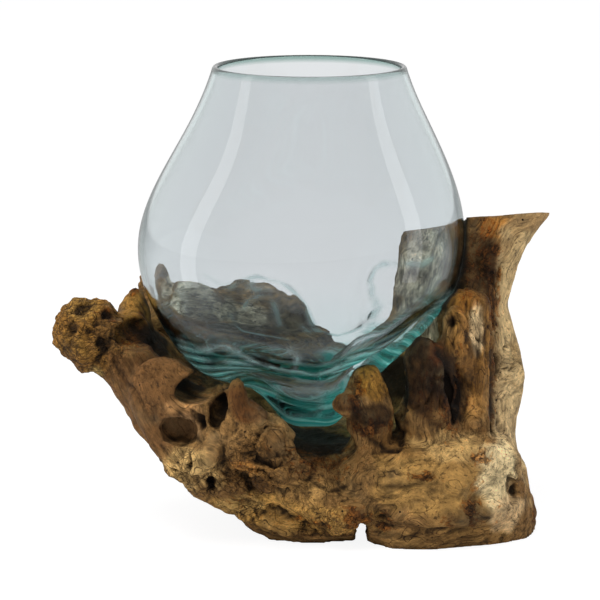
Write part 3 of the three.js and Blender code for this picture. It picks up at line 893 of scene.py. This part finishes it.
# The glass's section as a chain of points: up the outside, over the rounded lip, down the inside.
outer, facing = bowl_outline()
sunk_share = smooth(0.35 * BOWL_DEPTH, BOWL_DEPTH, BELLY_HEIGHT - outer[:, 1])
thickness = WALL + (FOOT_WALL - WALL) * sunk_share
inner = outer - thickness[:, None] * facing
inner[0, 0] = 0
lip_centre = outer[-1] - WALL / 2 * facing[-1]
lip_from = math.atan2(facing[-1][1], facing[-1][0])
lip_turns = lip_from + np.radians(np.linspace(20, 160, 8))
lip = lip_centre + WALL / 2 * np.column_stack((np.cos(lip_turns), np.sin(lip_turns)))
section = np.concatenate((outer, lip, inner[::-1]))
share_of_sag = np.concatenate((np.ones(len(outer) + len(lip)), np.full(len(inner), INSIDE_SAG)))
section_mesh = bpy.data.meshes.new("glass_section")
section_mesh.from_pydata(
    [(r * MM, 0, z * MM) for r, z in section], [(k, k + 1) for k in range(len(section) - 1)], []
)
section_mesh.attributes.new("share", "FLOAT", "POINT").data.foreach_set("value", share_of_sag)
vase = placed("blown_vase", section_mesh)

vase_finish, tree, output = material("recycled_glass")

# Threads of thicker glass, as the gather's flow left them over the wood.
TRAILS = [
    [(-66, 61, 138), (-57, 67, 133), (-47, 71, 129), (-40, 76, 129), (-33, 80, 131)],
    [(-33, 80, 131), (-28, 82, 132), (-22, 82, 129), (-15, 83, 128), (-7, 82, 124)],
    [(-7, 82, 124), (-1, 78, 117), (6, 68, 108), (10, 60, 101), (17, 54, 98), (27, 49, 98)],
    [(27, 49, 98), (38, 49, 102), (47, 47, 106), (53, 45, 108), (59, 52, 118), (58, 62, 129)],
    [(58, 62, 129), (57, 68, 135), (60, 69, 142), (63, 68, 145), (73, 59, 148)],
    [(73, 59, 148), (82, 47, 150), (87, 40, 156)],
    [(-37, 66, 115), (-33, 70, 118), (-26, 73, 118), (-21, 74, 117), (-18, 70, 112), (-15, 63, 105)],
    [(-46, 56, 112), (-43, 51, 106), (-38, 47, 101), (-29, 48, 98), (-18, 50, 96), (-9, 48, 94)],
    [(-32, 78, 127), (-35, 75, 125), (-29, 76, 122), (-21, 78, 122)],
    [(-1, 65, 104), (3, 59, 100), (6, 54, 97)],
    [(-64, -46, 119), (-53, -60, 121), (-44, -70, 124), (-35, -72, 121), (-24, -70, 114)],
    [(-24, -70, 114), (-14, -69, 109), (-1, -69, 108), (9, -66, 106), (19, -67, 109)],
    [(19, -67, 109), (32, -70, 116), (45, -66, 121), (59, -57, 124)],
    [(-5, -83, 126), (-2, -79, 119), (-3, -72, 111)],
]
trail_points = [point for trail in TRAILS for point in trail]
trail_ends = np.cumsum([len(trail) for trail in TRAILS])
trail_links = [(k, k + 1) for k in range(len(trail_points) - 1) if k + 1 not in trail_ends]
trail_mesh = bpy.data.meshes.new("trails")
trail_places = (sagged(np.array(trail_points, float)) + BOWL_AXIS) * MM
trail_mesh.from_pydata(trail_places.tolist(), trail_links, [])
trails = bpy.data.objects.new("trails", trail_mesh)

def new_group(name, takes, gives, kind):
    """A new Geometry Nodes tree, with named inputs and one output."""
    made = bpy.data.node_groups.new(name, "GeometryNodeTree")
    for taken, taken_kind in takes.items():
        made.interface.new_socket(taken, in_out="INPUT", socket_type=f"NodeSocket{taken_kind}")
    made.interface.new_socket(gives, in_out="OUTPUT", socket_type=f"NodeSocket{kind}")
    return made, made.nodes.new("NodeGroupInput").outputs, made.nodes.new("NodeGroupOutput").inputs[0]


def parts_of(tree, vector):
    """A vector's X, Y and Z."""
    return node(tree, "ShaderNodeSeparateXYZ", None, {0: vector}).outputs


def joined(tree, x=0.0, y=0.0, z=0.0):
    """A vector made of its parts."""
    return node(tree, "ShaderNodeCombineXYZ", None, {0: x, 1: y, 2: z}).outputs[0]


# One sag, as a group: how far a point near a place is carried. The glass is drawn thicker where it
# sags outwards, and its whole wall moves in where wood dented it.
sag_takes = {"Point": "Vector", "Place": "Vector", "Move": "Vector", "Reach": "Float", "Share": "Float"}
sag, given, sag_gives = new_group("Sag", sag_takes, "Carried", "Vector")
away = vector_calc(sag, "DISTANCE", {0: given["Point"], 1: given["Place"]}, "Value")
spread = calc(sag, "DIVIDE", away, given["Reach"])
fade = calc(sag, "EXPONENT", times(sag, spread, spread, -0.5))
middle = (0, 0, BELLY_HEIGHT * MM)
from_middle = vector_calc(sag, "SUBTRACT", {0: given["Point"], 1: middle})
outwards = vector_calc(sag, "DOT_PRODUCT", {0: from_middle, 1: given["Move"]}, "Value")
outwards = calc(sag, "GREATER_THAN", outwards)
kept_back = times(sag, outwards, calc(sag, "SUBTRACT", 1.0, given["Share"]))
how_far = times(sag, fade, calc(sag, "SUBTRACT", 1.0, kept_back))
carried = vector_calc(sag, "SCALE", {0: given["Move"], "Scale": how_far})
sag.links.new(carried, sag_gives)

# The whole vase: the section turned about its axis, sagged, leaned and rippled.
blow_takes = {
    "Section": "Geometry",
    "Columns": "Int",
    "Rows": "Int",
    "Lip Lean": "Float",
    "Ripple Depth": "Float",
    "Wood": "Object",
    "Trails": "Object",
    "Glass": "Material",
}
blow, given, blow_gives = new_group("Blow", blow_takes, "Vase", "Geometry")
sheet = node(
    blow,
    "GeometryNodeMeshGrid",
    None,
    {"Size X": 1.0, "Size Y": 1.0, "Vertices X": given["Columns"], "Vertices Y": given["Rows"]},
)
at = node(blow, "GeometryNodeInputPosition").outputs[0]
parts = parts_of(blow, at)
last_row = calc(blow, "SUBTRACT", given["Rows"], 1.0)
row = calc(blow, "ROUND", times(blow, calc(blow, "ADD", parts["Y"], 0.5), last_row))


def from_section(kind, field):
    """Reads a value of the section at this point's row."""
    reader = node(blow, "GeometryNodeSampleIndex", {"data_type": kind, "domain": "POINT"})
    blow.links.new(given["Section"], reader.inputs["Geometry"])
    blow.links.new(field, reader.inputs["Value"])
    blow.links.new(row, reader.inputs["Index"])
    return reader.outputs["Value"]


def kept_as(name):
    """Reads a value that was stored on the points."""
    reader = node(blow, "GeometryNodeInputNamedAttribute", {"data_type": "FLOAT"}, {"Name": name})
    return reader.outputs["Attribute"]


section_at = parts_of(blow, from_section("FLOAT_VECTOR", at))
share = from_section("FLOAT", kept_as("share"))
turn = times(blow, parts["X"], 2 * math.pi)
turned_x = times(blow, section_at["X"], calc(blow, "COSINE", turn))
turned_y = times(blow, section_at["X"], calc(blow, "SINE", turn))
turned = joined(blow, turned_x, turned_y, section_at["Z"])
moved = turned
for place_of, move, reach in SAGS:
    one = node(
        blow,
        "GeometryNodeGroup",
        {"node_tree": sag},
        {
            "Point": turned,
            "Place": tuple(np.array(place_of) * MM),
            "Move": tuple(np.array(move) * MM),
            "Reach": reach * MM,
            "Share": share,
        },
    ).outputs[0]
    moved = vector_calc(blow, "ADD", {0: moved, 1: one})
lean_from = {
    "From Min": (BELLY_HEIGHT - 0.2 * NECK_RISE) * MM,
    "From Max": (BELLY_HEIGHT + 0.75 * NECK_RISE) * MM,
}
leaning = node(
    blow,
    "ShaderNodeMapRange",
    {"interpolation_type": "SMOOTHSTEP"},
    {"Value": section_at["Z"], **lean_from, "To Max": given["Lip Lean"]},
).outputs[0]
moved = vector_calc(blow, "ADD", {0: moved, 1: joined(blow, leaning)})
moved = vector_calc(blow, "ADD", {0: moved, 1: tuple(BOWL_AXIS * MM)})


def keep(geometry, name, value):
    """Stores a field on the glass, at its points."""
    settings = {"data_type": "FLOAT", "domain": "POINT"}
    sockets = {"Geometry": geometry, "Name": name, "Value": value}
    return node(blow, "GeometryNodeStoreNamedAttribute", settings, sockets).outputs[0]


below_belly = calc(blow, "SUBTRACT", BELLY_HEIGHT * MM, section_at["Z"])
share_down = calc(blow, "DIVIDE", below_belly, BOWL_DEPTH * MM)
down = calc(blow, "ARCSINE", calc(blow, "MINIMUM", share_down, 1.0))
marked = keep(sheet.outputs["Mesh"], "down", down)
first = node(blow, "GeometryNodeSetPosition", None, {"Geometry": marked, "Position": moved})
weld = {"Geometry": first.outputs[0], "Distance": 2e-6}
welded = node(blow, "GeometryNodeMergeByDistance", None, weld).outputs[0]


def how_near(thing, element):
    """How far each point lies from another object's faces or edges."""
    shape = node(blow, "GeometryNodeObjectInfo", None, {"Object": given[thing]}).outputs["Geometry"]
    near = node(blow, "GeometryNodeProximity", {"target_element": element}, {0: shape})
    return near.outputs["Distance"]


# Glass that pooled on the front of the wood is teal and lies in threads, which were level turns of
# the gather before it sagged. Each pair below says where something begins and where it is full.
POOL_AT_WOOD = (0.013, 0.004)
CONTACT_AT_WOOD = (0.0045, 0.0018)
FRONT_TO_BACK = (0.07, 0.03)
POOL_BELOW = (0.152, 0.122)
WAVY_BELOW = (0.165, 0.085)
DRIP_BELOW = (0.094, 0.089)
to_wood = how_near("Wood", "FACES")
here = parts_of(blow, at)
swirl = noise(blow, at, 42.0, 2.0, 0.5)
front = span(blow, calc(blow, "MULTIPLY_ADD", swirl, 0.06, here["Y"]), *FRONT_TO_BACK)
low_down = span(blow, here["Z"], *POOL_BELOW)
pool = times(blow, span(blow, to_wood, *POOL_AT_WOOD), front, low_down)
turns = times(blow, noise(blow, at, 24.0, 1.0, 0.5), 9.0)
turns = calc(blow, "MULTIPLY_ADD", kept_as("down"), 2 * math.pi / THREAD_APART, turns)
threads = calc(blow, "MULTIPLY_ADD", calc(blow, "SINE", turns), 0.5, 0.5)
contact = times(blow, span(blow, to_wood, *CONTACT_AT_WOOD), front)

# The drip's edge and the free lower right of the bowl are teal too, the drip's middle is clear.
seen_flat = joined(blow, here["X"], 0.0, here["Z"])


def away_from(x, z):
    """How far from a place, as seen from the front."""
    return vector_calc(blow, "DISTANCE", {0: seen_flat, 1: (x, 0, z)}, "Value")


in_drip = span(blow, here["Z"], *DRIP_BELOW)
drip_side = span(blow, away_from(0.001, 0.093), 0.014, 0.019)
drip_edge = calc(blow, "MAXIMUM", drip_side, span(blow, here["X"], 0.007, 0.014))
pool = calc(blow, "MAXIMUM", pool, times(blow, drip_edge, in_drip, front))
for x, z in HANGING:
    pool = calc(blow, "MAXIMUM", pool, times(blow, span(blow, away_from(x, z), 0.018, 0.008), front))
clear_middle = times(blow, span(blow, away_from(-0.006, 0.084), 0.012, 0.007), front)
pool = times(blow, pool, calc(blow, "MULTIPLY_ADD", clear_middle, -0.8, 1.0))

# The trails wander off their lines and fade in places.
off_trail = calc(blow, "SUBTRACT", how_near("Trails", "EDGES"), 0.003)
off_trail = calc(blow, "DIVIDE", calc(blow, "MULTIPLY_ADD", swirl, 0.006, off_trail), TRAIL_WIDTH)
trail = calc(blow, "EXPONENT", times(blow, off_trail, off_trail, -1.0))
trail = times(blow, trail, span(blow, noise(blow, at, 90.0, 1.0, 0.5), 0.38, 0.58, 0.2, 1.0))

# Shallow waves, threads and trails are all pressed into the glass, never out of it.
wavy = span(blow, here["Z"], *WAVY_BELOW)
inward = times(blow, noise(blow, at, 48.0, 2.0, 0.45), wavy, WAVE_DEPTH)
inward = calc(blow, "ADD", inward, times(blow, threads, pool, given["Ripple Depth"]))
inward = calc(blow, "MULTIPLY_ADD", trail, TRAIL_DEPTH, inward)
finish_reads = {"pool": pool, "threads": threads, "contact": contact, "trail": trail}
pooled = keep(welded, "inward", times(blow, inward, -1.0))
for name, value in finish_reads.items():
    pooled = keep(pooled, name, value)
out_of = node(blow, "GeometryNodeInputNormal").outputs[0]
pressed = vector_calc(blow, "SCALE", {0: out_of, "Scale": kept_as("inward")})
rippled = node(blow, "GeometryNodeSetPosition", None, {"Geometry": pooled, "Offset": pressed})
polished = node(blow, "GeometryNodeSetShadeSmooth", None, {0: rippled.outputs[0]})
real = node(blow, "GeometryNodeRealizeInstances", None, {0: polished.outputs[0]})
coat = {"Geometry": real.outputs[0], "Material": given["Glass"]}
coated = node(blow, "GeometryNodeSetMaterial", None, coat)
blow.links.new(coated.outputs[0], blow_gives)

blowing = vase.modifiers.new("Blow", "NODES")
blowing.node_group = blow
inputs = {item.name: item.identifier for item in blow.interface.items_tree if item.in_out == "INPUT"}
blowing[inputs["Columns"]] = COLUMNS + 1
blowing[inputs["Rows"]] = len(section)
blowing[inputs["Lip Lean"]] = LIP_LEAN * MM
blowing[inputs["Ripple Depth"]] = RIPPLE_DEPTH
blowing[inputs["Wood"]] = root
blowing[inputs["Trails"]] = trails
blowing[inputs["Glass"]] = vase_finish
blown = made_plain(vase)
bpy.data.objects.remove(trails)
form = bmesh.new()
form.from_mesh(blown)
bmesh.ops.recalc_face_normals(form, faces=form.faces)
form.to_mesh(blown)
form.free()

# Plain glass is faintly grey. The lip, the trails and the pooled threads are teal, and the pool is milky
# between its threads, where it scatters light that comes from either side. The thread crests, the
# trails, the contact with the wood and the drip's tip are made pale and milky as painted highlights.
CLEAR_GREY = (0.862, 0.837, 0.855, 1)
LIP_TEAL = (0.35, 0.47, 0.44, 1)
TRAIL_TEAL = (0.6, 0.86, 0.86, 1)
PALE_TEAL = (0.28, 0.62, 0.6, 1)
DEEP_TEAL = (0.06, 0.55, 0.5, 1)
HIGHLIGHT_TEAL = (0.6, 1.0, 0.96, 1)
CONTACT_TEAL = (0.08, 0.66, 0.6, 1)
THIN_GLASS = (0.95, 0.965, 0.965, 1)
DEEP_COLOUR = (0.2, 0.83, 0.78, 1)
COLOUR_DENSITY = 26.0
LIP_ABOVE = (0.2755, 0.2785)
MILKY_BELOW = (0.15, 0.115)
DRIP_TIP_BELOW = (0.078, 0.071)
pool = stored(tree, "pool")
threads = stored(tree, "threads")
trail = stored(tree, "trail")
contact = stored(tree, "contact")
glass_at = node(tree, "ShaderNodeTexCoord").outputs["Object"]
glass_parts = parts_of(tree, glass_at)
height_in_glass = glass_parts["Z"]
cloudy = times(tree, pool, span(tree, noise(tree, glass_at, 60.0, 4.0, 0.6), 0.36, 0.54))
at_lip = span(tree, height_in_glass, *LIP_ABOVE)
teal = blend_colour(tree, span(tree, threads, 0.1, 0.5), PALE_TEAL, DEEP_TEAL)
# Painted highlight: the thread crests turn pale teal.
teal = blend_colour(tree, span(tree, threads, 0.76, 0.97), teal, HIGHLIGHT_TEAL)
teal = blend_colour(tree, times(tree, contact, 0.8), teal, CONTACT_TEAL)
lip_tint = times(tree, at_lip, span(tree, glass_parts["Y"], -0.06, 0.03, 0.5, 1.0))
tint = blend_colour(tree, lip_tint, CLEAR_GREY, LIP_TEAL)
tint = blend_colour(tree, times(tree, trail, 0.7), tint, TRAIL_TEAL)
tint = blend_colour(tree, pool, tint, teal)
# How milky the pool is along its threads, most on the crests, which are painted highlights.
lit = span(tree, threads, 0.1, 0.45, 0.06, 0.6)
lit = calc(tree, "ADD", lit, span(tree, threads, 0.76, 0.97, 0.0, 0.6))
milk_and_highlight = times(tree, calc(tree, "MULTIPLY_ADD", cloudy, 0.5, times(tree, pool, 0.5)), lit)
# Painted highlight along the contact with the wood.
milk_and_highlight = calc(tree, "MAXIMUM", milk_and_highlight, times(tree, contact, 0.7))
milk_and_highlight = times(tree, milk_and_highlight, span(tree, height_in_glass, *MILKY_BELOW))
# Painted highlights: the drip's tip and the trails are milky too, the lip a little.
for more_milk_and_highlight in (
    times(tree, at_lip, 0.1),
    span(tree, height_in_glass, *DRIP_TIP_BELOW, 0.0, 0.7),
    times(tree, trail, 0.6),
):
    milk_and_highlight = calc(tree, "MAXIMUM", milk_and_highlight, more_milk_and_highlight)
half_milk_and_highlight = times(tree, milk_and_highlight, 0.5)
clear = node(
    tree,
    "ShaderNodeBsdfPrincipled",
    None,
    {
        "Base Color": tint,
        "Roughness": 0.0,
        "IOR": 1.5,
        "Transmission Weight": calc(tree, "SUBTRACT", 1.0, half_milk_and_highlight),
    },
)
# Painted highlight: the milky part is paler than the glass.
glow_highlight = blend_colour(tree, 0.35, tint, (0.55, 1.0, 0.96, 1))
glow = node(tree, "ShaderNodeBsdfTranslucent", None, {"Color": glow_highlight})
lets_light_by = node(tree, "ShaderNodeBsdfTransparent", None, {"Color": THIN_GLASS})


def either(tree, share, first, second):
    """Two finishes mixed by a share."""
    sockets = {0: share, 1: first.outputs[0], 2: second.outputs[0]}
    return node(tree, "ShaderNodeMixShader", None, sockets)


body = either(tree, half_milk_and_highlight, clear, glow)
in_shadow = node(tree, "ShaderNodeLightPath").outputs["Is Shadow Ray"]
seen = either(tree, in_shadow, body, lets_light_by)
tree.links.new(seen.outputs[0], output.inputs["Surface"])
depth_of_colour = {"Color": DEEP_COLOUR, "Density": COLOUR_DENSITY}
inside = node(tree, "ShaderNodeVolumeAbsorption", None, depth_of_colour)
tree.links.new(inside.outputs[0], output.inputs["Volume"])
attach(vase, "vase")
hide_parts("glass_vase")


# The table, the lights and the camera
# A plain pale table under a plain pale room, as a studio has it: two tall soft windows at the
# sides, which the glass mirrors, and a broad soft light above.

WHITE = (1.0, 1.0, 1.0, 1.0)
TABLE = [(-9, -6, 0), (9, -6, 0), (9, 14, 0), (-9, 14, 0)]
OVERHEAD_WATTS = 17
WINDOW_WATTS = 0.34
WINDOW_AWAY = 0.42
WINDOW_BEFORE = -0.1
WINDOW_MIDDLE = 0.32
WINDOW_SIZE = (0.1, 0.62)


def ray_kinds(tree):
    """Whether a ray comes unmirrored from the camera or through glass, and whether it is mirrored."""
    ray = node(tree, "ShaderNodeLightPath").outputs
    straight = calc(tree, "MAXIMUM", ray["Is Camera Ray"], ray["Is Transmission Ray"])
    straight = times(tree, straight, calc(tree, "LESS_THAN", ray["Glossy Depth"], 0.5))
    return straight, calc(tree, "GREATER_THAN", ray["Glossy Depth"], 0.5)


def with_mirrored(tree, mirrored, plain, way, from_near, to_far, near, far):
    """A plain level that mirrors show otherwise: near at the camera's side, and far behind."""
    back = parts_of(tree, node(tree, "ShaderNodeTexCoord").outputs[way])["Y"]
    level = span(tree, back, from_near, to_far, near, far)
    sockets = {0: mirrored, 2: plain, 3: level}
    return node(tree, "ShaderNodeMix", {"data_type": "FLOAT"}, sockets).outputs[0]


table_mesh = bpy.data.meshes.new("table")
table_mesh.from_pydata(TABLE, [], [(0, 1, 2, 3)])
table = placed("table", table_mesh)
table_finish, tree, output = material("pale_table")
sees_white, mirrored = ray_kinds(tree)
paleness = with_mirrored(tree, mirrored, 0.8, "Object", -0.1, 0.5, near=0.26, far=0.8)
matt = node(tree, "ShaderNodeBsdfDiffuse", None, {"Color": paleness})
bright = node(tree, "ShaderNodeEmission", None, {"Color": WHITE, "Strength": 0.9})
shadowed = node(tree, "ShaderNodeBsdfDiffuse", None, {"Color": (0.22, 0.22, 0.22, 1)})
white = node(tree, "ShaderNodeAddShader", None, {0: bright.outputs[0], 1: shadowed.outputs[0]})
shown = either(tree, sees_white, matt, white)
tree.links.new(shown.outputs[0], output.inputs["Surface"])
table_mesh.materials.append(table_finish)

room_light = bpy.data.worlds.new("pale_room")
bpy.context.scene.world = room_light
room_light.use_nodes = True
tree = room_light.node_tree
tree.nodes.clear()
sees_white, mirrored = ray_kinds(tree)
level = with_mirrored(tree, mirrored, 0.45, "Generated", -0.2, 0.6, near=0.28, far=0.9)
fill = node(tree, "ShaderNodeBackground", None, {"Color": WHITE, "Strength": level})
backdrop = node(tree, "ShaderNodeBackground", None, {"Color": WHITE, "Strength": 1.0})
shown = either(tree, sees_white, fill, backdrop)
tree.links.new(shown.outputs[0], node(tree, "ShaderNodeOutputWorld").inputs["Surface"])


def soft_light(name, at, target, size, watts):
    """A soft rectangular light at a place, turned to a target."""
    lamp = bpy.data.lights.new(name, "AREA")
    lamp.shape = "RECTANGLE"
    lamp.size, lamp.size_y = size
    lamp.energy = watts
    stand = placed(name, lamp)
    stand.location = at
    stand.rotation_euler = (Vector(target) - Vector(at)).to_track_quat("-Z", "Y").to_euler()
    return stand


overhead = soft_light("overhead", (-0.5, -0.8, 1.7), (0, 0, 0.1), (0.9, 0.9), OVERHEAD_WATTS)
overhead.visible_glossy = False  # the glass mirrors only the windows
overhead.visible_transmission = False
for name, side in (("left_window", -1), ("right_window", 1)):
    stands = (side * WINDOW_AWAY, WINDOW_BEFORE, WINDOW_MIDDLE)
    faces = (0, WINDOW_BEFORE, WINDOW_MIDDLE)
    window = soft_light(name, stands, faces, WINDOW_SIZE, WINDOW_WATTS)
    window.visible_camera = False
    window.visible_transmission = False

# A long lens from a little above, as the photograph was taken.
LENS = 183.16
CAMERA_BACK = 1.8
CAMERA_UP = 0.489
LOOKS_DOWN = 11.01
camera_data = bpy.data.cameras.new("camera")
camera_data.sensor_width = 36
camera_data.lens = LENS
camera = placed("camera", camera_data)
camera.location = (BOWL_AXIS[0] * MM, -CAMERA_BACK, CAMERA_UP)
camera.rotation_euler = (math.radians(90 - LOOKS_DOWN), 0, 0)
bpy.context.scene.camera = camera
bpy.context.scene.view_settings.view_transform = "Standard"
